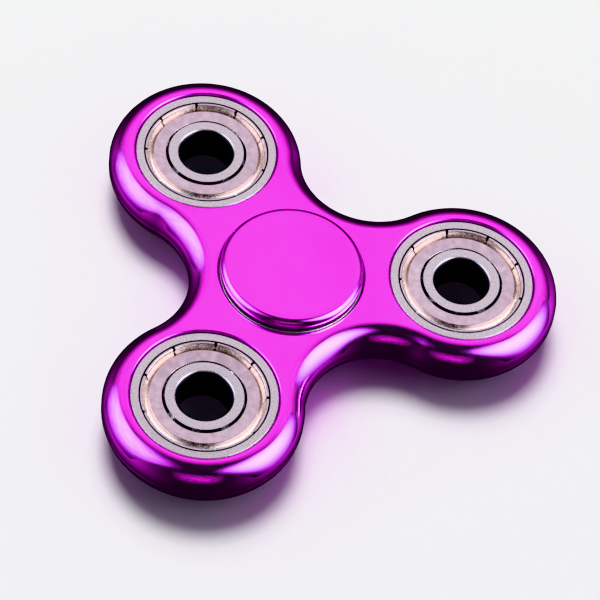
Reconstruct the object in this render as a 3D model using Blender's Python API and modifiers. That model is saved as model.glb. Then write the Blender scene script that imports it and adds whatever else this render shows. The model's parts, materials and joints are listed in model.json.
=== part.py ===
"""Three-lobed hand spinner: a plated body turning on a capped centre bearing, with a ball bearing in each lobe.

Run with: blender --background --python part.py
Units are metres, +Z is up along the spin axis, and the origin is the centre of the bottom cap's flat face,
which is what the spinner stands on. Lobe A points along +X, and B and C follow at 120 and 240 degrees.
"""

import math

import bmesh
import bpy
from mathutils import Vector

MM = 0.001

# Driving dimensions: the body
ARM = 25.8 * MM  # spin axis to each lobe's bearing axis
LOBE_RADIUS = 15.0 * MM
WAIST = 15.2 * MM  # spin axis to the nearest point of the hollow between two lobes
BODY_THICKNESS = 7.6 * MM
BODY_EDGE_RADIUS = 3.4 * MM
SEAT_CHAMFER = 0.25 * MM
LOBES = {"arm_a": 0.0, "arm_b": 120.0, "arm_c": 240.0}  # direction of each lobe, in degrees

# Driving dimensions: a 608 deep-groove bearing, 8 x 22 x 7 mm
BORE_RADIUS = 4.0 * MM
BEARING_RADIUS = 11.0 * MM
BEARING_WIDTH = 7.0 * MM
RING_CHAMFER = 0.3 * MM
BORE_CHAMFER = 0.4 * MM
INNER_SHOULDER = 6.05 * MM
INNER_RECESS = 0.25 * MM  # inner ring's faces below the outer ring's
OUTER_SHOULDER = 8.8 * MM
SHIELD_SEAT_RADIUS = 9.6 * MM
SHIELD_SEAT_DEPTH = 1.0 * MM
SHIELD_BEND_RADIUS = 8.2 * MM
SHIELD_RECESS = 0.4 * MM  # shield plate below the outer ring's face
SHIELD_PLAY = 0.15 * MM  # shield to inner ring
PITCH_RADIUS = 7.5 * MM
BALL_RADIUS = 3.969 / 2 * MM
BALLS = 7
RACE_PLAY = 0.14 * MM  # ball to race, wide enough for the facets of both to turn past each other
SHEET = 0.28 * MM  # steel sheet of the shields and cages

# Driving dimensions: the finger caps
CAP_RADIUS = 10.75 * MM
CAP_THICKNESS = 1.5 * MM
CAP_EDGE_RADIUS = 1.0 * MM
CAP_STANDOFF = 0.4 * MM  # cap to body face
CAP_BOSS_RADIUS = 5.7 * MM
CAP_STUB_LENGTH = 3.3 * MM

# Fits and facets
PRESS_GAP = 0.03 * MM  # drawn gap between pieces that are pressed together
CHAMFER = 0.2 * MM  # small broken edges
FACETS = 32
RACE_ARC_STEPS = 4
CAGE_STEPS = 5  # facets over one ball
CAGE_PLAY = 0.2 * MM  # ball to cage pocket
LOBE_STEPS = 20
NECK_STEPS = 8

# Heights that follow from the dimensions above
MID_HEIGHT = CAP_THICKNESS + CAP_STANDOFF + BODY_THICKNESS / 2
HALF_WIDTH = BEARING_WIDTH / 2


def clear_scene():
    for obj in list(bpy.data.objects):
        bpy.data.objects.remove(obj)


def new_collection(name, rendered=True):
    collection = bpy.data.collections.new(name)
    collection.hide_render = not rendered
    bpy.context.scene.collection.children.link(collection)
    return collection


def new_material(name, colour, roughness, metallic):
    material = bpy.data.materials.new(name)
    material.use_nodes = True
    shader = material.node_tree.nodes["Principled BSDF"]
    shader.inputs["Base Color"].default_value = (*colour, 1.0)
    shader.inputs["Roughness"].default_value = roughness
    shader.inputs["Metallic"].default_value = metallic
    return material


def new_empty(name, collection, location, parent=None):
    """An axis that pieces turn about. The location is relative to the parent."""
    empty = bpy.data.objects.new(name, None)
    empty.empty_display_size = 5 * MM
    empty.location = location
    empty.parent = parent
    collection.objects.link(empty)
    return empty


def new_piece(name, mesh, material, collection, parent, location=(0, 0, 0)):
    obj = bpy.data.objects.new(name, mesh)
    obj.location = location
    obj.parent = parent
    if not mesh.materials:
        mesh.materials.append(material)
    collection.objects.link(obj)
    return obj


# Turned shapes -------------------------------------------------------------------------------------------


def profile_mesh(name, points, closed):
    """A chain of (radius, height) points in the XZ plane, ready for a Screw modifier."""
    mesh = bpy.data.meshes.new(name)
    last = len(points) if closed else len(points) - 1
    edges = [(i, (i + 1) % len(points)) for i in range(last)]
    mesh.from_pydata([(r, 0, z) for r, z in points], edges, [])
    return mesh


def turn(obj):
    screw = obj.modifiers.new("turn", "SCREW")
    screw.steps = FACETS
    screw.render_steps = FACETS
    screw.use_merge_vertices = True
    screw.merge_threshold = 0.00001
    screw.use_smooth_shade = False
    return obj


def mirrored(points):
    """A profile turned upside down, still running clockwise."""
    return [(r, -z) for r, z in reversed(points)]


def race_arc(centre_radius, shoulder_radius, side):
    """Points across a ball groove, top to bottom. side is 1 for the outer ring's groove and -1 for the inner's."""
    groove = BALL_RADIUS + RACE_PLAY
    half_angle = math.acos(abs(shoulder_radius - centre_radius) / groove)
    points = []
    for i in range(RACE_ARC_STEPS + 1):
        angle = half_angle * (1 - 2 * i / RACE_ARC_STEPS)
        points.append((centre_radius + side * groove * math.cos(angle), groove * math.sin(angle)))
    return points


def outer_ring_profile():
    top, seat = HALF_WIDTH, HALF_WIDTH - SHIELD_SEAT_DEPTH
    outside = [
        (BEARING_RADIUS - RING_CHAMFER, top),
        (BEARING_RADIUS, top - RING_CHAMFER),
        (BEARING_RADIUS, -top + RING_CHAMFER),
        (BEARING_RADIUS - RING_CHAMFER, -top),
    ]
    inside_below = [
        (SHIELD_SEAT_RADIUS, -top),
        (SHIELD_SEAT_RADIUS, -seat),
        (OUTER_SHOULDER, -seat),
    ]
    groove = list(reversed(race_arc(PITCH_RADIUS, OUTER_SHOULDER, 1)))
    return outside + inside_below + groove + mirrored(inside_below)


def inner_ring_profile():
    top = HALF_WIDTH - INNER_RECESS
    outside_above = [
        (INNER_SHOULDER - CHAMFER, top),
        (INNER_SHOULDER, top - CHAMFER),
    ]
    bore_below = [
        (BORE_RADIUS + BORE_CHAMFER, -top),
        (BORE_RADIUS, -top + BORE_CHAMFER),
    ]
    groove = race_arc(PITCH_RADIUS, INNER_SHOULDER, -1)
    return outside_above + groove + mirrored(outside_above) + bore_below + mirrored(bore_below)


def shield_profile():
    """Pressed sheet: a flat plate near the face, sloping down to a rim that grips the outer ring."""
    inner, bend, rim = INNER_SHOULDER + SHIELD_PLAY, SHIELD_BEND_RADIUS, SHIELD_SEAT_RADIUS - 0.1 * MM
    plate = HALF_WIDTH - SHIELD_RECESS
    low = HALF_WIDTH - SHIELD_SEAT_DEPTH + PRESS_GAP + SHEET
    return [
        (inner, plate),
        (bend, plate),
        (rim, low),
        (rim, low - SHEET),
        (bend - CHAMFER, plate - SHEET),
        (inner, plate - SHEET),
    ]


def cap_profile():
    """Disc with a rounded outer edge, a boss that meets the inner ring and a stub that is pressed into it.

    Height 0 is the bearing's mid-plane, and the chain runs from the axis over the face and back under.
    """
    face = MID_HEIGHT
    under = face - CAP_THICKNESS
    boss = HALF_WIDTH - INNER_RECESS + PRESS_GAP
    stub = BORE_RADIUS - PRESS_GAP
    stub_end = HALF_WIDTH - CAP_STUB_LENGTH
    edge_steps = 4
    edge = []
    for i in range(edge_steps + 1):
        angle = math.radians(90) * (1 - i / edge_steps)
        edge.append((
            CAP_RADIUS - CAP_EDGE_RADIUS * (1 - math.cos(angle)),
            face - CAP_EDGE_RADIUS * (1 - math.sin(angle)),
        ))
    return [
        (0, face),
        *edge,
        (CAP_RADIUS, under + CHAMFER),
        (CAP_RADIUS - CHAMFER, under),
        (CAP_BOSS_RADIUS, under),
        (CAP_BOSS_RADIUS, boss),
        (stub, boss),
        (stub, stub_end + CHAMFER),
        (stub - CHAMFER, stub_end),
        (0, stub_end),
    ]


def seat_cutter_profile():
    """A cylinder for the bearing seat, flared at both body faces to break the edges."""
    radius = BEARING_RADIUS + PRESS_GAP
    flare = BODY_THICKNESS / 2 - SEAT_CHAMFER
    beyond = SEAT_CHAMFER * 2
    end = [
        (0, flare + beyond),
        (radius + beyond, flare + beyond),
        (radius, flare),
    ]
    return end + mirrored(end)


# Body ----------------------------------------------------------------------------------------------------


def arc(centre, radius, start, end, steps):
    """Points along an arc, leaving out the last, so that arcs can be chained. Angles are in radians."""
    points = []
    for i in range(steps):
        angle = start + (end - start) * i / steps
        points.append(centre + Vector((radius * math.cos(angle), radius * math.sin(angle))))
    return points


def neck_radius():
    """Radius of the hollow arc that touches two lobes and comes within WAIST of the spin axis."""
    rise = WAIST**2 + ARM**2 - WAIST * ARM - LOBE_RADIUS**2
    return rise / (2 * LOBE_RADIUS - 2 * WAIST + ARM)


def body_outline():
    """Three convex lobes joined by three hollow necks, all tangent, counter-clockwise."""
    neck = neck_radius()
    points = []
    for direction in LOBES.values():
        along = math.radians(direction)
        beside = along + math.radians(60)
        lobe_centre = Vector((ARM * math.cos(along), ARM * math.sin(along)))
        neck_centre = Vector((math.cos(beside), math.sin(beside))) * (WAIST + neck)
        touch = neck_centre - lobe_centre
        half_lobe = math.atan2(touch.y, touch.x) - along
        half_lobe = (half_lobe + math.pi) % (2 * math.pi) - math.pi
        points += arc(lobe_centre, LOBE_RADIUS, along - half_lobe, along + half_lobe, LOBE_STEPS)
        half_neck = half_lobe - math.radians(60)
        inward = beside + math.pi
        points += arc(neck_centre, neck, inward + half_neck, inward - half_neck, NECK_STEPS)
    return points


def outline_curve(name, points):
    """The body as a filled flat curve, thickened and rounded all round its edge."""
    curve = bpy.data.curves.new(name, "CURVE")
    curve.dimensions = "2D"
    curve.fill_mode = "BOTH"
    curve.extrude = BODY_THICKNESS / 2 - BODY_EDGE_RADIUS
    curve.bevel_depth = BODY_EDGE_RADIUS
    curve.bevel_resolution = 3
    curve.offset = -BODY_EDGE_RADIUS
    spline = curve.splines.new("POLY")
    spline.points.add(len(points) - 1)
    for point, place in zip(spline.points, points):
        point.co = (place.x, place.y, 0, 1)
    spline.use_cyclic_u = True
    return bpy.data.objects.new(name, curve)


def curve_to_mesh(curve_object, name):
    bpy.context.scene.collection.objects.link(curve_object)
    bpy.context.view_layer.update()
    graph = bpy.context.evaluated_depsgraph_get()
    mesh = bpy.data.meshes.new_from_object(curve_object.evaluated_get(graph))
    mesh.name = name
    shape = bmesh.new()
    shape.from_mesh(mesh)
    bmesh.ops.remove_doubles(shape, verts=shape.verts, dist=0.000001)
    bmesh.ops.recalc_face_normals(shape, faces=shape.faces)
    shape.to_mesh(mesh)
    shape.free()
    bpy.data.objects.remove(curve_object)
    return mesh


def cut(obj, cutter):
    boolean = obj.modifiers.new("cut_" + cutter.name, "BOOLEAN")
    boolean.operation = "DIFFERENCE"
    boolean.object = cutter


def make_body(material, parts, cutters, axis, arms):
    mesh = curve_to_mesh(outline_curve("body_outline", body_outline()), "spinner_body")
    body = new_piece("spinner_body", mesh, material, parts, axis)
    for name, arm in arms.items():
        cutter_mesh = profile_mesh(name + "_seat_cutter", seat_cutter_profile(), closed=False)
        cutter = turn(new_piece(name + "_seat_cutter", cutter_mesh, material, cutters, arm))
        cutter.hide_render = True
        cutter.display_type = "WIRE"
        cut(body, cutter)
    return body


# Ball bearings -------------------------------------------------------------------------------------------


def ball_mesh():
    mesh = bpy.data.meshes.new("ball")
    shape = bmesh.new()
    bmesh.ops.create_icosphere(shape, subdivisions=2, radius=BALL_RADIUS)
    for face in shape.faces:
        face.smooth = True
    shape.to_mesh(mesh)
    shape.free()
    return mesh


def cage_mesh():
    """Upper half of the ribbon cage: a flat strip that rises over each ball. Solidify thickens it upwards."""
    inner, outer = PITCH_RADIUS - 0.8 * MM, PITCH_RADIUS + 0.8 * MM
    pocket = BALL_RADIUS + CAGE_PLAY
    shape = bmesh.new()
    rungs = []
    for ball in range(BALLS):
        middle = 2 * math.pi * ball / BALLS
        for step in range(CAGE_STEPS + 1):
            over = math.pi * step / CAGE_STEPS
            angle = middle - pocket * math.cos(over) / PITCH_RADIUS
            height = PRESS_GAP + pocket * math.sin(over)
            rungs.append([
                shape.verts.new((r * math.cos(angle), r * math.sin(angle), height))
                for r in (inner, outer)
            ])
    for here, there in zip(rungs, rungs[1:] + rungs[:1]):
        shape.faces.new((here[0], here[1], there[1], there[0]))
    mesh = bpy.data.meshes.new("cage_half")
    shape.to_mesh(mesh)
    shape.free()
    return mesh


def thicken(obj):
    solidify = obj.modifiers.new("sheet", "SOLIDIFY")
    solidify.thickness = SHEET
    solidify.offset = 1
    return obj


def bearing_meshes():
    """One mesh for each kind of bearing piece, shared by all four bearings."""
    return {
        "outer_ring": profile_mesh("outer_ring", outer_ring_profile(), closed=True),
        "inner_ring": profile_mesh("inner_ring", inner_ring_profile(), closed=True),
        "top_shield": profile_mesh("top_shield", shield_profile(), closed=True),
        "bottom_shield": profile_mesh("bottom_shield", mirrored(shield_profile()), closed=True),
        "cage_half": cage_mesh(),
        "ball": ball_mesh(),
    }


def make_bearing(prefix, meshes, materials, parts, seat_axis, ring_axis):
    """One bearing. The outer ring and shields hang on seat_axis, the inner ring on ring_axis."""
    steel = materials["bearing_steel"]
    for kind in ("outer_ring", "top_shield", "bottom_shield"):
        material = steel if kind == "outer_ring" else materials["shield_steel"]
        turn(new_piece(f"{prefix}_{kind}", meshes[kind], material, parts, seat_axis))
    turn(new_piece(f"{prefix}_inner_ring", meshes["inner_ring"], steel, parts, ring_axis))
    cage_axis = new_empty(f"{prefix}_cage_axis", parts, (0, 0, 0), seat_axis)
    cage_steel = materials["cage_steel"]
    thicken(new_piece(f"{prefix}_top_cage_half", meshes["cage_half"], cage_steel, parts, cage_axis))
    lower = thicken(
        new_piece(f"{prefix}_bottom_cage_half", meshes["cage_half"], cage_steel, parts, cage_axis)
    )
    lower.rotation_euler = (math.pi, 0, 0)
    for number in range(BALLS):
        angle = 2 * math.pi * number / BALLS
        place = (PITCH_RADIUS * math.cos(angle), PITCH_RADIUS * math.sin(angle), 0)
        ball = new_piece(
            f"{prefix}_ball_{number + 1}", meshes["ball"], materials["ball_steel"], parts, cage_axis
        )
        ball.location = place


def main():
    clear_scene()
    parts = new_collection("hand_spinner")
    cutters = new_collection("cutters", rendered=False)
    materials = {
        "plated_magenta": new_material("plated_magenta", (0.85, 0.03, 0.75), 0.08, 1.0),
        "bearing_steel": new_material("bearing_steel", (0.62, 0.58, 0.60), 0.25, 1.0),
        "shield_steel": new_material("shield_steel", (0.72, 0.60, 0.64), 0.3, 1.0),
        "cage_steel": new_material("cage_steel", (0.55, 0.52, 0.50), 0.35, 1.0),
        "ball_steel": new_material("ball_steel", (0.75, 0.75, 0.77), 0.05, 1.0),
    }

    hub_axis = new_empty("hub_axis", parts, (0, 0, MID_HEIGHT))
    body_axis = new_empty("body_axis", parts, (0, 0, 0), hub_axis)
    arms = {"hub": new_empty("hub_seat", parts, (0, 0, 0), body_axis)}
    for name, direction in LOBES.items():
        angle = math.radians(direction)
        place = (ARM * math.cos(angle), ARM * math.sin(angle), 0)
        arms[name] = new_empty(name + "_seat", parts, place, body_axis)
    make_body(materials["plated_magenta"], parts, cutters, body_axis, arms)

    meshes = bearing_meshes()
    for name, seat in arms.items():
        ring_axis = hub_axis if name == "hub" else new_empty(name + "_ring_axis", parts, (0, 0, 0), seat)
        make_bearing(name, meshes, materials, parts, seat, ring_axis)

    cap_mesh = profile_mesh("finger_cap", cap_profile(), closed=False)
    turn(new_piece("top_cap", cap_mesh, materials["plated_magenta"], parts, hub_axis))
    lower_cap = turn(new_piece("bottom_cap", cap_mesh, materials["plated_magenta"], parts, hub_axis))
    lower_cap.rotation_euler = (math.pi, 0, 0)


main()
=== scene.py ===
"""Looks for the hand spinner: fine meshes with plated, ground and pressed finishes around the CAD frame."""

import json
import math

import bmesh
import bpy
from mathutils import Matrix, Vector


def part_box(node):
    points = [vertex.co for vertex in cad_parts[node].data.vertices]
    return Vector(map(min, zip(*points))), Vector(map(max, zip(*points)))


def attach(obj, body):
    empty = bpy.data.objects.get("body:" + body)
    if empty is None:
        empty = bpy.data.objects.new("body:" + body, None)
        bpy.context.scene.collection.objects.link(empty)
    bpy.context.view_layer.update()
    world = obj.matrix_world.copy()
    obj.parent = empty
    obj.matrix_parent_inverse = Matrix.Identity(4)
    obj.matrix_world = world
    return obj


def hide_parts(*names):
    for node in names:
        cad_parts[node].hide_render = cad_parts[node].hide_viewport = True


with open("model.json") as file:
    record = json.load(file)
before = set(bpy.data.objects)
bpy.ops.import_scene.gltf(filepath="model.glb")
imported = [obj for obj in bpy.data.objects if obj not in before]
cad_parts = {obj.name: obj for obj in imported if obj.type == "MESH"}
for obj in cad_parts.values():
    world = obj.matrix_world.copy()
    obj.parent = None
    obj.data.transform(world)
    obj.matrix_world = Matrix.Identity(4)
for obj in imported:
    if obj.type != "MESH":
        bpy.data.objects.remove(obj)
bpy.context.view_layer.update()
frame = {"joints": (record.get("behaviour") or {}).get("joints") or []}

MM = 0.001

# Shape of the body: the CAD's dimensions, apart from those that a comment explains
ARM = 25.8 * MM
LOBE_RADIUS = 14.92 * MM  # just inside the box of the coarser CAD outline
WAIST = 15.2 * MM
HALF_BODY = 3.8 * MM
EDGE_RADIUS = 3.4 * MM
PARTING_LINE = 0.03 * MM  # depth of the mould's parting line, half-way up the rim
LOBE_DIRECTIONS = {"arm_a": 0.0, "arm_b": 120.0, "arm_c": 240.0}
SEAT_RADIUS = 11.03 * MM
SEAT_FILLET = 0.22 * MM  # round where the CAD has a 0.25 mm chamfer

# Shape of a bearing and of the caps: the CAD's dimensions, with slightly finer edges
HALF_WIDTH = 3.5 * MM
BORE_RADIUS = 4.0 * MM
BEARING_RADIUS = 11.0 * MM
RING_CHAMFER = 0.25 * MM
BORE_CHAMFER = 0.4 * MM
INNER_SHOULDER = 6.05 * MM
INNER_RECESS = 0.25 * MM
OUTER_SHOULDER = 8.8 * MM
SHIELD_SEAT_RADIUS = 9.6 * MM
SHIELD_SEAT_DEPTH = 1.0 * MM
SHIELD_RECESS = 0.4 * MM
SHIELD_BEND_RADIUS = 8.05 * MM  # the CAD's bend is at 8.2 mm
SHIELD_PLAY = 0.15 * MM  # shield to inner ring
PITCH_RADIUS = 7.5 * MM
BALL_RADIUS = 1.9845 * MM
GROOVE_RADIUS = 2.1245 * MM
BALLS = 7
SHEET = 0.28 * MM
CAGE_HALF_WIDTH = 0.8 * MM
CAGE_PLAY = 0.2 * MM  # ball to cage pocket
PRESS_GAP = 0.03 * MM  # drawn gap between pieces that are pressed together
CAP_RADIUS = 10.75 * MM
CAP_THICKNESS = 1.5 * MM
CAP_EDGE = 0.95 * MM
CAP_BOSS_RADIUS = 5.7 * MM
CAP_STUB_LENGTH = 3.3 * MM
CAP_STUB_CHAMFER = 0.2 * MM
CAP_SINK = 0.012 * MM  # shrink mark over the stub, in the middle of the cap
CAP_SINK_SPREAD = 0.3  # its radius as a share of the flat's

# Shield rim: a channel outside the bend, then an edge curled up under the outer ring's lip
CHANNEL_DEPTH = 0.8 * MM
CURL_RADIUS = 9.04 * MM
CURL_RECESS = 0.12 * MM
CURL_GAP = 0.12 * MM  # curl to the wall of its seat
CURL_FILLET = 0.1 * MM
CHANNEL_FLOOR = (8.92 * MM, 8.98 * MM)  # radii
SHIELD_HEEL_RADIUS = 8.7 * MM  # underside, where the channel meets the plate's slope
NOTCH_FLOOR = (9.0 * MM, 9.02 * MM)  # radii of what is left of the curl in a notch
NOTCH_DROP = 0.02 * MM  # below the channel's floor
NOTCHES = 9
NOTCH_HALF_ANGLE = math.radians(1.2)
NOTCH_WALL = math.radians(0.12)
NOTCH_START = {"hub": 0.0, "arm_a": 21.5, "arm_b": 20.0, "arm_c": 0.0}

# Mesh fineness
ROUND = 144
FILLET_STEPS = 5
EDGE_STEPS = 14
LOBE_STEPS = 132
NECK_STEPS = 44
GROOVE_STEPS = 12
CAGE_STEPS = 14
CAP_RINGS = 16
MERGE_DISTANCE = 0.0005 * MM
SHARP_ANGLE = math.radians(40)
SHARP = 0.002 * MM  # fillet of a corner that is meant to look sharp
SOFT = 0.05 * MM  # fillet of a corner that is only just broken
BENT = 0.03 * MM  # fillet on the underside of bent sheet

# Camera
AIM = Vector((1.22, -4.976, 9.278)) * MM
DISTANCE = 415.3 * MM
HEADING = math.radians(8.25)
ELEVATION = math.radians(55.0)
ROLL = math.radians(9.09)
LENS = 167.1

# Light
PANEL_DISTANCE = 0.8
FLOOR_LIGHT = 32.0  # watts
FLOOR_LIGHT_SIZE = 0.9
FLOOR_LIGHT_PLACE = (95, 58, 1.4)  # azimuth and elevation in degrees, and distance
WORLD_DARK = 0.014
WORLD_SIDES = 1.1
WORLD_EDGE = 6.0  # how sharply the world's light gathers at either side
WORLD_COLOUR = (0.9, 0.95, 1.0, 1.0)

# Colours of painted shade on the steel
# painted shade: near black in the rings' bores, under the lips over the shields and at the outer edges
PAINTED_SHADE = (0.012, 0.01, 0.012)
# painted shade in the gap between a shield's inner edge and the inner ring
GAP_SHADE = (0.02, 0.015, 0.018)


# Places, from the frame ----------------------------------------------------------------------------------


def bearing_centres():
    """Centre of each bearing, from the joints that turn on it."""
    places = {joint["name"]: Vector(joint["pos_m"]) for joint in frame["joints"]}
    centres = {"hub": places["body_spin"]}
    for arm in LOBE_DIRECTIONS:
        centres[arm] = places[arm + "_ring_spin"]
    return centres


CENTRES = bearing_centres()
MIDDLE = CENTRES["hub"]
CAP_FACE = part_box("top_cap")[1].z - MIDDLE.z


# Making pieces -------------------------------------------------------------------------------------------


def to_object(name, shape, material, centre):
    """A smooth-shaded object from a bmesh that is drawn about the origin, placed at centre."""
    bmesh.ops.remove_doubles(shape, verts=shape.verts, dist=MERGE_DISTANCE)
    bmesh.ops.recalc_face_normals(shape, faces=shape.faces)
    mesh = bpy.data.meshes.new(name)
    shape.to_mesh(mesh)
    shape.free()
    mesh.shade_smooth()
    mesh.set_sharp_from_angle(angle=SHARP_ANGLE)
    mesh.materials.append(material)
    obj = bpy.data.objects.new(name, mesh)
    obj.location = centre
    bpy.context.scene.collection.objects.link(obj)
    normals = obj.modifiers.new("normals", "WEIGHTED_NORMAL")
    normals.keep_sharp = True
    normals.weight = 100
    return obj


def place(obj, body, node):
    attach(obj, body)
    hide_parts(node)
    return obj


def rounded(points):
    """Closed chain of (radius, height) points from (radius, height, fillet radius) corners."""
    result = []
    for i, (r, z, fillet) in enumerate(points):
        here = Vector((r, z))
        before = Vector(points[i - 1][:2]) - here
        after = Vector(points[(i + 1) % len(points)][:2]) - here
        if fillet <= 0:
            result.append((r, z))
            continue
        before.normalize()
        after.normalize()
        half = before.angle(after) / 2
        reach = fillet / math.tan(half)
        centre = here + (before + after).normalized() * (fillet / math.sin(half))
        first = here + before * reach - centre
        turn = math.pi - 2 * half
        if first.x * after.y - first.y * after.x < 0:
            turn = -turn
        for step in range(FILLET_STEPS + 1):
            angle = turn * step / FILLET_STEPS
            cos, sin = math.cos(angle), math.sin(angle)
            result.append((
                centre.x + first.x * cos - first.y * sin,
                centre.y + first.x * sin + first.y * cos,
            ))
    return result


def ring_angles():
    return [2 * math.pi * i / ROUND for i in range(ROUND)]


def revolve(profile_at, angles):
    """A ring of closed profiles about the Z axis. profile_at gives the chain of points at an angle."""
    shape = bmesh.new()
    rungs = []
    for angle in angles:
        cos, sin = math.cos(angle), math.sin(angle)
        rungs.append([shape.verts.new((r * cos, r * sin, z)) for r, z in profile_at(angle)])
    for here, there in zip(rungs, rungs[1:] + rungs[:1]):
        for i in range(len(here)):
            shape.faces.new((here[i - 1], here[i], there[i], there[i - 1]))
    return shape


def lathe(profile):
    return revolve(lambda angle: profile, ring_angles())


def lathe_solid(profile):
    """A turned solid whose chain starts and ends on the Z axis."""
    shape = bmesh.new()
    start = shape.verts.new((0, 0, profile[0][1]))
    end = shape.verts.new((0, 0, profile[-1][1]))
    rungs = []
    for angle in ring_angles():
        cos, sin = math.cos(angle), math.sin(angle)
        rungs.append([shape.verts.new((r * cos, r * sin, z)) for r, z in profile[1:-1]])
    for here, there in zip(rungs, rungs[1:] + rungs[:1]):
        shape.faces.new((start, here[0], there[0]))
        shape.faces.new((end, there[-1], here[-1]))
        for i in range(1, len(here)):
            shape.faces.new((here[i - 1], here[i], there[i], there[i - 1]))
    return shape


def upside_down(shape):
    """Turned over about the X axis."""
    bmesh.ops.rotate(shape, verts=shape.verts, matrix=Matrix.Rotation(math.pi, 3, "X"))
    return shape


# Materials -----------------------------------------------------------------------------------------------


class Nodes:
    """Short ways to add and join the nodes of one material."""

    def __init__(self, name):
        self.material = bpy.data.materials.new(name)
        self.material.use_nodes = True
        self.tree = self.material.node_tree
        self.shader = self.tree.nodes["Principled BSDF"]
        self.position = self.add("ShaderNodeTexCoord").outputs["Object"]

    def add(self, kind, **values):
        node = self.tree.nodes.new(kind)
        for name, value in values.items():
            setattr(node, name, value)
        return node

    def link(self, source, target):
        self.tree.links.new(source, target)

    def noise(self, scale, detail=3.0, roughness=0.5):
        node = self.add("ShaderNodeTexNoise")
        node.inputs["Scale"].default_value = scale
        node.inputs["Detail"].default_value = detail
        node.inputs["Roughness"].default_value = roughness
        self.link(self.position, node.inputs["Vector"])
        return node.outputs["Fac"]

    def span(self, value, low, high):
        """A noise value's middle range stretched to low..high."""
        node = self.add("ShaderNodeMapRange")
        node.inputs["From Min"].default_value = 0.3
        node.inputs["From Max"].default_value = 0.7
        node.inputs["To Min"].default_value = low
        node.inputs["To Max"].default_value = high
        self.link(value, node.inputs["Value"])
        return node.outputs["Result"]

    def shades(self, value, *colours):
        """Colours spread evenly over a value from 0.3 to 0.7."""
        ramp = self.add("ShaderNodeValToRGB")
        stops = ramp.color_ramp.elements
        for i, colour in enumerate(colours):
            at = 0.3 + 0.4 * i / (len(colours) - 1)
            stop = stops[i] if i < 2 else stops.new(at)
            stop.position = at
            stop.color = (*colour, 1.0)
        self.link(value, ramp.inputs["Fac"])
        return ramp.outputs["Color"]

    def bump(self, height, distance, below=None):
        node = self.add("ShaderNodeBump")
        node.inputs["Strength"].default_value = 1.0
        node.inputs["Distance"].default_value = distance
        self.link(height, node.inputs["Height"])
        if below is not None:
            self.link(below, node.inputs["Normal"])
        return node.outputs["Normal"]

    def radius(self):
        """Distance from the piece's own Z axis."""
        flat = self.add("ShaderNodeVectorMath", operation="MULTIPLY")
        flat.inputs[1].default_value = (1, 1, 0)
        self.link(self.position, flat.inputs[0])
        length = self.add("ShaderNodeVectorMath", operation="LENGTH")
        self.link(flat.outputs["Vector"], length.inputs[0])
        return length.outputs["Value"]

    def step(self, value, low, high):
        """0 below low, 1 above high and smooth between them."""
        node = self.add("ShaderNodeMapRange", interpolation_type="SMOOTHSTEP")
        node.inputs["From Min"].default_value = low
        node.inputs["From Max"].default_value = high
        self.link(value, node.inputs["Value"])
        return node.outputs["Result"]

    def blend(self, share, first, second):
        """The first colour where share is 0 and the second where it is 1."""
        node = self.add("ShaderNodeMix", data_type="RGBA")
        self.link(share, node.inputs["Factor"])
        for colour, socket in ((first, node.inputs[6]), (second, node.inputs[7])):
            if isinstance(colour, tuple):
                socket.default_value = (*colour, 1.0)
            else:
                self.link(colour, socket)
        return node.outputs[2]

    def maths(self, operation, *values):
        node = self.add("ShaderNodeMath", operation=operation)
        for value, socket in zip(values, node.inputs):
            if isinstance(value, (int, float)):
                socket.default_value = value
            else:
                self.link(value, socket)
        return node.outputs["Value"]

    def times(self, value, factor):
        return self.maths("MULTIPLY", value, factor)

    def plus(self, value, more):
        return self.maths("ADD", value, more)

    def minus(self, value, less):
        return self.maths("SUBTRACT", value, less)

    def mix(self, share, first, second):
        """The first value where share is 0 and the second where it is 1."""
        return self.maths("MULTIPLY_ADD", share, self.minus(second, first), first)

    def turning_marks(self, scale, distortion):
        """Fine rings about the piece's own Z axis."""
        node = self.add("ShaderNodeTexWave", wave_type="RINGS", rings_direction="Z")
        node.inputs["Scale"].default_value = scale
        node.inputs["Distortion"].default_value = distortion
        node.inputs["Detail"].default_value = 2.0
        self.link(self.position, node.inputs["Vector"])
        return node.outputs["Fac"]

    def finish(self, colour, roughness, normal=None, metallic=1.0):
        self.link(colour, self.shader.inputs["Base Color"])
        self.link(roughness, self.shader.inputs["Roughness"])
        if normal is not None:
            self.link(normal, self.shader.inputs["Normal"])
        self.shader.inputs["Metallic"].default_value = metallic
        return self.material


def plated_magenta():
    n = Nodes("plated_magenta")
    colour = n.shades(n.noise(90, 2), (0.98, 0.034, 0.9), (0.995, 0.048, 0.94))
    roughness = n.span(n.noise(700, 4), 0.07, 0.11)
    waves = n.bump(n.noise(260, 1.0), 0.015 * MM)
    peel = n.bump(n.noise(2500, 2.0), 0.0006 * MM, waves)
    n.shader.inputs["Specular Tint"].default_value = (0.85, 0.6, 1.0, 1.0)
    n.shader.inputs["Coat Weight"].default_value = 0.35
    n.shader.inputs["Coat Roughness"].default_value = 0.35
    n.shader.inputs["Coat IOR"].default_value = 1.5
    return n.finish(colour, roughness, peel)


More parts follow.
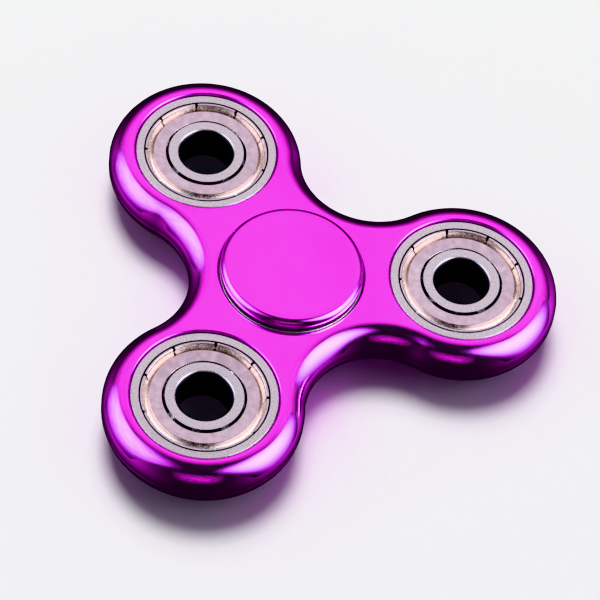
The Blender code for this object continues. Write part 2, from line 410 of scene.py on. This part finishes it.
def ground_steel():
    """Ground ring steel, with painted shade in the bore, under the lip over the shield and on the outer
    edge.
    """
    n = Nodes("bearing_steel")
    ground = n.shades(n.noise(4000, 3), (0.49, 0.42, 0.48), (0.55, 0.475, 0.54), (0.61, 0.54, 0.6))
    out = n.radius()
    lip = SHIELD_SEAT_RADIUS + PRESS_GAP
    edge = BEARING_RADIUS - RING_CHAMFER
    # painted shade: the steel goes near black in the bore, from the outer shoulder to the lip, and near the
    # outer edge
    unshaded = n.step(out, BORE_RADIUS + 0.2 * MM, BORE_RADIUS + BORE_CHAMFER + 0.02 * MM)
    unshaded = n.minus(unshaded, n.step(out, OUTER_SHOULDER - 0.2 * MM, OUTER_SHOULDER - 0.1 * MM))
    unshaded = n.plus(unshaded, n.step(out, lip - 0.02 * MM, lip + 0.02 * MM))
    unshaded = n.minus(unshaded, n.times(n.step(out, edge + 0.1 * MM, edge + 0.18 * MM), 0.8))
    colour = n.blend(unshaded, PAINTED_SHADE, ground)
    roughness = n.span(n.noise(6000, 2), 0.25, 0.31)
    marks = n.bump(n.turning_marks(6000, 0.6), 0.0006 * MM)
    grain = n.bump(n.noise(9000, 2.0), 0.0008 * MM, marks)
    return n.finish(colour, roughness, grain)


def pressed_shield():
    """Bright plate and curled edge, with a duller channel between them that is brown beside the plate."""
    n = Nodes("shield_steel")
    plate = n.shades(n.noise(900, 4), (0.48, 0.355, 0.44), (0.53, 0.4, 0.49), (0.6, 0.465, 0.55))
    brown = n.shades(n.noise(900, 3), (0.3, 0.14, 0.12), (0.46, 0.27, 0.23))
    cream = n.shades(n.noise(1400, 3), (0.58, 0.45, 0.42), (0.68, 0.56, 0.54), (0.74, 0.65, 0.63))
    out = n.radius()
    bend = n.step(out, SHIELD_BEND_RADIUS - 0.05 * MM, SHIELD_BEND_RADIUS + 0.15 * MM)
    slope = n.step(out, SHIELD_BEND_RADIUS + 0.25 * MM, SHIELD_BEND_RADIUS + 0.6 * MM)
    curl = n.step(out, CURL_RADIUS, CURL_RADIUS + 0.08 * MM)
    in_channel = n.times(bend, n.minus(1.0, curl))
    colour = n.blend(in_channel, plate, n.blend(slope, brown, cream))
    inner = INNER_SHOULDER + SHIELD_PLAY
    # painted shade: the shield's inner edge goes dark in the gap beside the inner ring
    colour = n.blend(n.step(out, inner + 0.02 * MM, inner + 0.06 * MM), GAP_SHADE, colour)
    smooth = n.span(n.noise(2500, 3), 0.12, 0.22)
    dull = n.span(n.noise(2500, 3), 0.2, 0.34)
    roughness = n.mix(in_channel, smooth, dull)
    dents = n.bump(n.noise(1200, 3.0), 0.003 * MM)
    return n.finish(colour, roughness, dents)


def cage_steel():
    n = Nodes("cage_steel")
    colour = n.shades(n.noise(1500, 3), (0.42, 0.38, 0.34), (0.58, 0.55, 0.52))
    roughness = n.span(n.noise(2500, 3), 0.25, 0.4)
    return n.finish(colour, roughness, n.bump(n.noise(2000, 2.0), 0.002 * MM))


def ball_steel():
    n = Nodes("ball_steel")
    colour = n.shades(n.noise(800, 2), (0.7, 0.7, 0.71), (0.78, 0.78, 0.8))
    roughness = n.span(n.noise(3000, 2), 0.03, 0.07)
    return n.finish(colour, roughness)


MATERIALS = {
    "plated_magenta": plated_magenta(),
    "bearing_steel": ground_steel(),
    "shield_steel": pressed_shield(),
    "cage_steel": cage_steel(),
    "ball_steel": ball_steel(),
}


# Body ----------------------------------------------------------------------------------------------------


def neck_radius():
    rise = WAIST**2 + ARM**2 - WAIST * ARM - LOBE_RADIUS**2
    return rise / (2 * LOBE_RADIUS - 2 * WAIST + ARM)


def outline(inset):
    """Points and outward directions round the body, drawn in by inset, counter-clockwise."""
    neck = neck_radius()
    found = []
    for direction in LOBE_DIRECTIONS.values():
        along = math.radians(direction)
        beside = along + math.radians(60)
        lobe = Vector((math.cos(along), math.sin(along))) * ARM
        hollow = Vector((math.cos(beside), math.sin(beside))) * (WAIST + neck)
        touch = hollow - lobe
        half_lobe = (math.atan2(touch.y, touch.x) - along + math.pi) % (2 * math.pi) - math.pi
        for i in range(LOBE_STEPS):
            angle = along + half_lobe * (2 * i / LOBE_STEPS - 1)
            found.append(lobe + Vector((math.cos(angle), math.sin(angle))) * (LOBE_RADIUS - inset))
        half_neck = half_lobe - math.radians(60)
        for i in range(NECK_STEPS):
            angle = beside + math.pi + half_neck * (1 - 2 * i / NECK_STEPS)
            found.append(hollow + Vector((math.cos(angle), math.sin(angle))) * (neck + inset))
    return found


def loop(shape, points, height):
    return [shape.verts.new((point.x, point.y, height)) for point in points]


def bridge(shape, loops):
    for lower, upper in zip(loops, loops[1:]):
        for i in range(len(lower)):
            shape.faces.new((lower[i - 1], lower[i], upper[i], upper[i - 1]))


def loop_edges(shape, verts):
    return [shape.edges.get((verts[i - 1], verts[i])) for i in range(len(verts))]


def circle(centre, radius):
    return [centre.xy + Vector((math.cos(a), math.sin(a))) * radius for a in ring_angles()]


def edge_levels():
    """(inset, height) of the rounded rim, from the upper flat to the lower."""
    quarter = []
    for i in range(EDGE_STEPS + 1):
        angle = math.radians(90) * i / EDGE_STEPS
        quarter.append((
            EDGE_RADIUS * (1 - math.sin(angle)),
            HALF_BODY - EDGE_RADIUS * (1 - math.cos(angle)),
        ))
    line = [(0, PARTING_LINE * 2), (PARTING_LINE, 0), (0, -PARTING_LINE * 2)]
    return quarter + line + [(inset, -height) for inset, height in reversed(quarter)]


def seat_levels():
    """(radius, height) of a seat's wall with its rounded mouths, from the upper flat to the lower."""
    quarter = []
    for i in range(FILLET_STEPS + 1):
        angle = math.radians(90) * i / FILLET_STEPS
        quarter.append((
            SEAT_RADIUS + SEAT_FILLET * (1 - math.sin(angle)),
            HALF_BODY - SEAT_FILLET * (1 - math.cos(angle)),
        ))
    return quarter + [(radius, -height) for radius, height in reversed(quarter)]


def make_body():
    shape = bmesh.new()
    rim = [loop(shape, outline(inset), height) for inset, height in edge_levels()]
    bridge(shape, rim)
    tops, bottoms = [rim[0]], [rim[-1]]
    for centre in CENTRES.values():
        wall = [loop(shape, circle(centre - MIDDLE, radius), height) for radius, height in seat_levels()]
        bridge(shape, wall)
        tops.append(wall[0])
        bottoms.append(wall[-1])
    for loops in (tops, bottoms):
        edges = [edge for verts in loops for edge in loop_edges(shape, verts)]
        bmesh.ops.triangle_fill(shape, edges=edges, use_beauty=True, use_dissolve=False)
    body = to_object("body_shell", shape, MATERIALS["plated_magenta"], MIDDLE)
    place(body, "spinner", "spinner_body")


# Caps ----------------------------------------------------------------------------------------------------


def cap_chain():
    """Cap's outline from the axis over the face, round the edge, under the disc and down the stub."""
    under = CAP_FACE - CAP_THICKNESS
    boss = HALF_WIDTH - INNER_RECESS + PRESS_GAP
    stub = BORE_RADIUS - PRESS_GAP
    stub_end = HALF_WIDTH - CAP_STUB_LENGTH
    flat = CAP_RADIUS - CAP_EDGE
    chain = [(0, CAP_FACE - CAP_SINK)]
    for i in range(1, CAP_RINGS + 1):
        r = flat * i / CAP_RINGS
        chain.append((r, CAP_FACE - CAP_SINK * math.exp(-((r / (CAP_SINK_SPREAD * flat)) ** 2))))
    for i in range(1, EDGE_STEPS + 1):
        angle = math.radians(90) * i / EDGE_STEPS
        chain.append((flat + CAP_EDGE * math.sin(angle), CAP_FACE - CAP_EDGE * (1 - math.cos(angle))))
    chain += [
        (CAP_RADIUS, under + 0.15 * MM),
        (CAP_RADIUS - 0.04 * MM, under + 0.05 * MM),
        (CAP_RADIUS - 0.15 * MM, under),
        (CAP_BOSS_RADIUS, under),
        (CAP_BOSS_RADIUS, boss),
        (stub, boss),
        (stub, stub_end + CAP_STUB_CHAMFER),
        (stub - CAP_STUB_CHAMFER, stub_end),
        (0, stub_end),
    ]
    return chain


def make_caps():
    for name, turned in (("top_cap", False), ("bottom_cap", True)):
        shape = lathe_solid(cap_chain())
        if turned:
            upside_down(shape)
        cap = to_object(name + "_button", shape, MATERIALS["plated_magenta"], MIDDLE)
        place(cap, "hub", name)


# Bearings ------------------------------------------------------------------------------------------------


def groove(shoulder, side):
    """Ball groove from the top down. side is 1 for the outer ring's and -1 for the inner ring's."""
    half = math.acos(abs(shoulder - PITCH_RADIUS) / GROOVE_RADIUS)
    angles = [half * (1 - 2 * i / GROOVE_STEPS) for i in range(GROOVE_STEPS + 1)]
    return [
        (PITCH_RADIUS + side * GROOVE_RADIUS * math.cos(angle), GROOVE_RADIUS * math.sin(angle), 0)
        for angle in angles
    ]


def flipped(points):
    return [(r, -z, fillet) for r, z, fillet in reversed(points)]


def outer_ring_chain():
    seat = HALF_WIDTH - SHIELD_SEAT_DEPTH
    soft = 0.06 * MM
    outside = [
        (BEARING_RADIUS - RING_CHAMFER, HALF_WIDTH, soft),
        (BEARING_RADIUS, HALF_WIDTH - RING_CHAMFER, soft),
    ]
    inside = [
        (SHIELD_SEAT_RADIUS, -HALF_WIDTH, SOFT),
        (SHIELD_SEAT_RADIUS, -seat, 0),
        (OUTER_SHOULDER, -seat, SOFT),
    ]
    channel = list(reversed(groove(OUTER_SHOULDER, 1)))
    return rounded(outside + flipped(outside) + inside + channel + flipped(inside))


def inner_ring_chain():
    face = HALF_WIDTH - INNER_RECESS
    soft = 0.08 * MM
    outside = [(INNER_SHOULDER, face, 0.25 * MM)]
    bore = [
        (BORE_RADIUS + BORE_CHAMFER, -face, soft),
        (BORE_RADIUS, -face + BORE_CHAMFER, soft),
    ]
    channel = groove(INNER_SHOULDER, -1)
    return rounded(outside + channel + flipped(outside) + bore + flipped(bore))


def shield_chain(notched):
    """Section of the upper shield. In a notch the curled edge is cut away."""
    plate = HALF_WIDTH - SHIELD_RECESS
    low = HALF_WIDTH - CHANNEL_DEPTH
    below = HALF_WIDTH - SHIELD_SEAT_DEPTH + PRESS_GAP
    inner = INNER_SHOULDER + SHIELD_PLAY
    curl_inner, curl_outer = CURL_RADIUS, SHIELD_SEAT_RADIUS - CURL_GAP
    curl, curl_fillet = HALF_WIDTH - CURL_RECESS, CURL_FILLET
    if notched:
        curl_inner, curl_outer = NOTCH_FLOOR
        curl, curl_fillet = low - NOTCH_DROP, SHARP
    return rounded([
        (inner, plate, SOFT),
        (SHIELD_BEND_RADIUS, plate, 0.4 * MM),
        (CHANNEL_FLOOR[0], low, 0.04 * MM),
        (CHANNEL_FLOOR[1], low, SHARP),
        (curl_inner, curl, curl_fillet),
        (curl_outer, curl, curl_fillet),
        (curl_outer, below, SHARP),
        (SHIELD_HEEL_RADIUS, below, BENT),
        (SHIELD_BEND_RADIUS - 0.1 * MM, plate - SHEET, BENT),
        (inner, plate - SHEET, SOFT),
    ])


def notch_angles(start):
    """Angles round a shield, each with whether it lies in a notch. They crowd at the notches' walls."""
    pitch = 2 * math.pi / NOTCHES
    between = ROUND // NOTCHES
    found = []
    for number in range(NOTCHES):
        middle = math.radians(start) + pitch * number
        found += [(middle - NOTCH_HALF_ANGLE, True), (middle + NOTCH_HALF_ANGLE, True)]
        first = NOTCH_HALF_ANGLE + NOTCH_WALL
        for i in range(between + 1):
            found.append((middle + first + (pitch - 2 * first) * i / between, False))
    return found


def shield_shape(start):
    notches = dict(notch_angles(start))
    chains = {False: shield_chain(False), True: shield_chain(True)}
    return revolve(lambda angle: chains[notches[angle]], list(notches))


def ball_shape():
    shape = bmesh.new()
    bmesh.ops.create_uvsphere(shape, u_segments=32, v_segments=20, radius=BALL_RADIUS)
    return shape


def cage_shape():
    """Upper half of a ribbon cage: a strip that rises over each ball and lies flat between them."""
    inner, outer = PITCH_RADIUS - CAGE_HALF_WIDTH, PITCH_RADIUS + CAGE_HALF_WIDTH
    pocket = BALL_RADIUS + CAGE_PLAY
    shape = bmesh.new()
    rungs = []
    for ball in range(BALLS):
        middle = 2 * math.pi * ball / BALLS
        for step in range(CAGE_STEPS + 1):
            over = math.pi * step / CAGE_STEPS
            angle = middle - pocket * math.cos(over) / PITCH_RADIUS
            low = PRESS_GAP + pocket * math.sin(over)
            high = low + SHEET
            corners = ((inner, low), (outer, low), (outer, high), (inner, high))
            rungs.append([
                shape.verts.new((r * math.cos(angle), r * math.sin(angle), z)) for r, z in corners
            ])
    for here, there in zip(rungs, rungs[1:] + rungs[:1]):
        for i in range(4):
            shape.faces.new((here[i - 1], here[i], there[i], there[i - 1]))
    return shape


def make_bearing(arm, centre):
    """Rings, shields, cages and balls of one bearing, each on the CAD body that it belongs to."""
    cage_body = arm + "_cage"
    ring_body = "hub" if arm == "hub" else arm + "_ring"
    kinds = [
        ("outer_ring", lathe(outer_ring_chain()), "bearing_steel", "spinner"),
        ("inner_ring", lathe(inner_ring_chain()), "bearing_steel", ring_body),
        ("top_shield", shield_shape(NOTCH_START[arm]), "shield_steel", "spinner"),
        ("bottom_shield", upside_down(shield_shape(NOTCH_START[arm])), "shield_steel", "spinner"),
        ("top_cage_half", cage_shape(), "cage_steel", cage_body),
        ("bottom_cage_half", upside_down(cage_shape()), "cage_steel", cage_body),
    ]
    for kind, shape, slot, body in kinds:
        node = f"{arm}_{kind}"
        place(to_object(node + "_fine", shape, MATERIALS[slot], centre), body, node)
    for number in range(1, BALLS + 1):
        node = f"{arm}_ball_{number}"
        low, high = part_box(node)
        ball = to_object(node + "_fine", ball_shape(), MATERIALS["ball_steel"], (low + high) / 2)
        place(ball, f"{arm}_rolling_ball_{number}", node)


# Camera, light and floor ---------------------------------------------------------------------------------


def make_camera():
    forward = Vector((
        math.sin(HEADING) * math.cos(ELEVATION),
        math.cos(HEADING) * math.cos(ELEVATION),
        -math.sin(ELEVATION),
    ))
    level = Vector((math.cos(HEADING), -math.sin(HEADING), 0))
    upright = level.cross(forward)
    right = level * math.cos(ROLL) + upright * math.sin(ROLL)
    up = right.cross(forward)
    camera = bpy.data.objects.new("camera", bpy.data.cameras.new("camera"))
    camera.data.lens = LENS
    camera.data.sensor_width = 36.0
    camera.data.clip_start = 0.01
    camera.data.clip_end = 50.0
    turn = Matrix((right, up, -forward)).transposed().to_4x4()
    camera.matrix_world = Matrix.Translation(AIM - forward * DISTANCE) @ turn
    bpy.context.scene.collection.objects.link(camera)
    bpy.context.scene.camera = camera


def facing(azimuth, elevation, distance, obj):
    """Puts obj that way from the object, turned to face it. Azimuth is counter-clockwise from +X."""
    a, e = math.radians(azimuth), math.radians(elevation)
    way = Vector((math.cos(a) * math.cos(e), math.sin(a) * math.cos(e), math.sin(e)))
    across = Vector((-math.sin(a), math.cos(a), 0))
    turn = Matrix((across, way.cross(across), way)).transposed().to_4x4()
    obj.matrix_world = Matrix.Translation(MIDDLE + way * distance) @ turn
    bpy.context.scene.collection.objects.link(obj)


def fade(n, coordinate, low, high, stops):
    """A strength that follows stops, evenly spread from low to high along one coordinate of the panel."""
    spread = n.add("ShaderNodeMapRange")
    spread.inputs["From Min"].default_value = low
    spread.inputs["From Max"].default_value = high
    n.link(coordinate, spread.inputs["Value"])
    ramp = n.add("ShaderNodeValToRGB")
    ramp.color_ramp.interpolation = "B_SPLINE"
    elements = ramp.color_ramp.elements
    for i, strength in enumerate(stops):
        at = i / (len(stops) - 1)
        element = elements[i] if i < 2 else elements.new(at)
        element.position = at
        element.color = (strength, strength, strength, 1.0)
    n.link(spread.outputs["Result"], ramp.inputs["Fac"])
    return ramp.outputs["Color"]


def soft_panel(name, azimuth, elevation, size, peak, core, fringe, across, upward, clouds=None):
    """A softbox that only reflections see, of colour core where it is bright and fringe where it fades.

    across and upward are its fades, each 0 to 1. clouds is the scale, least and most of a noise over it.
    """
    width, height = size
    n = Nodes(name)
    n.tree.nodes.remove(n.shader)
    parts = n.add("ShaderNodeSeparateXYZ")
    n.link(n.position, parts.inputs["Vector"])
    strength = n.times(
        fade(n, parts.outputs["X"], -width / 2, width / 2, across),
        fade(n, parts.outputs["Y"], -height / 2, height / 2, upward),
    )
    if clouds is not None:
        scale, least, most = clouds
        strength = n.times(strength, n.span(n.noise(scale, 3, 0.6), least, most))
    glow = n.add("ShaderNodeEmission")
    n.link(n.blend(strength, fringe, core), glow.inputs["Color"])
    n.link(n.times(strength, peak), glow.inputs["Strength"])
    n.link(glow.outputs["Emission"], n.tree.nodes["Material Output"].inputs["Surface"])
    mesh = bpy.data.meshes.new(name)
    corners = [(x * width / 2, y * height / 2, 0) for x, y in ((-1, -1), (-1, 1), (1, 1), (1, -1))]
    mesh.from_pydata(corners, [], [(0, 1, 2, 3)])
    mesh.materials.append(n.material)
    panel = bpy.data.objects.new(name, mesh)
    facing(azimuth, elevation, PANEL_DISTANCE, panel)
    panel.visible_camera = False
    panel.visible_diffuse = False
    panel.visible_shadow = False


def make_panels():
    soft_panel(
        "back_panel", 82, 48, (2.6, 0.95), 1.3, (1.0, 0.98, 0.99), (1.0, 0.98, 0.99),
        across=(0.1, 0.3, 0.6, 0.97, 1, 0.97, 0.6, 0.4, 0.3),
        upward=(0, 0.12, 0.35, 0.85, 1, 1, 0.9, 0.4, 0),
        clouds=(8, 0.75, 1.22),
    )
    soft_panel(
        "left_panel", 178, 30, (1.1, 2.0), 9.0, (0.93, 0.97, 1.0), (0.66, 0.82, 1.0),
        across=(0, 0.45, 0.85, 1, 1, 0.9, 0.6, 0.35, 0),
        upward=(0, 0.06, 0.13, 0.38, 0.8, 1, 0.55, 0.08, 0),
        clouds=(7, 0.55, 1.3),
    )
    soft_panel(
        "right_panel", -15, 30, (1.15, 2.0), 17.0, (1.0, 1.0, 0.96), (0.62, 0.8, 1.0),
        across=(0, 0, 0.45, 1, 1, 1, 0.62, 0.12, 0),
        upward=(0, 0.06, 0.1, 0.28, 0.75, 1, 0.55, 0, 0),
    )
    soft_panel(
        "front_panel", -93, 30, (0.6, 0.6), 0.9, (1.0, 1.0, 1.0), (1.0, 1.0, 1.0),
        across=(0, 0.6, 1, 0.6, 0),
        upward=(0, 0.6, 1, 0.6, 0),
        clouds=(13, 0.0, 1.9),
    )


def make_world():
    """Dark in front, behind and overhead, with light towards +X and -X."""
    world = bpy.data.worlds.new("world")
    world.use_nodes = True
    tree = world.node_tree
    way = tree.nodes.new("ShaderNodeTexCoord")
    parts = tree.nodes.new("ShaderNodeSeparateXYZ")
    tree.links.new(way.outputs["Generated"], parts.inputs["Vector"])
    sideways = tree.nodes.new("ShaderNodeMath")
    sideways.operation = "ABSOLUTE"
    tree.links.new(parts.outputs["X"], sideways.inputs[0])
    power = tree.nodes.new("ShaderNodeMath")
    power.operation = "POWER"
    power.inputs[1].default_value = WORLD_EDGE
    tree.links.new(sideways.outputs["Value"], power.inputs[0])
    spread = tree.nodes.new("ShaderNodeMapRange")
    spread.inputs["To Min"].default_value = WORLD_DARK
    spread.inputs["To Max"].default_value = WORLD_SIDES
    tree.links.new(power.outputs["Value"], spread.inputs["Value"])
    tree.links.new(spread.outputs["Result"], tree.nodes["Background"].inputs["Strength"])
    tree.nodes["Background"].inputs["Color"].default_value = WORLD_COLOUR
    bpy.context.scene.world = world


def make_lights():
    make_panels()
    make_world()
    lamp = bpy.data.lights.new("floor_light", "AREA")
    lamp.shape = "DISK"
    lamp.size = FLOOR_LIGHT_SIZE
    lamp.energy = FLOOR_LIGHT
    light = bpy.data.objects.new("floor_light", lamp)
    facing(*FLOOR_LIGHT_PLACE, light)
    light.visible_camera = False
    light.visible_glossy = False
    bpy.context.scene.view_settings.view_transform = "Khronos PBR Neutral"


def make_floor():
    shape = bmesh.new()
    bmesh.ops.create_grid(shape, x_segments=1, y_segments=1, size=2.0)
    mesh = bpy.data.meshes.new("floor")
    shape.to_mesh(mesh)
    shape.free()
    n = Nodes("floor")
    colour = n.shades(n.noise(3, 2), (0.78, 0.78, 0.78), (0.8, 0.8, 0.8))
    mesh.materials.append(n.finish(colour, n.span(n.noise(40, 2), 0.8, 0.9), metallic=0.0))
    floor = bpy.data.objects.new("floor", mesh)
    floor.visible_glossy = False
    bpy.context.scene.collection.objects.link(floor)


make_body()
make_caps()
for bearing, its_centre in CENTRES.items():
    make_bearing(bearing, its_centre)
make_camera()
make_lights()
make_floor()
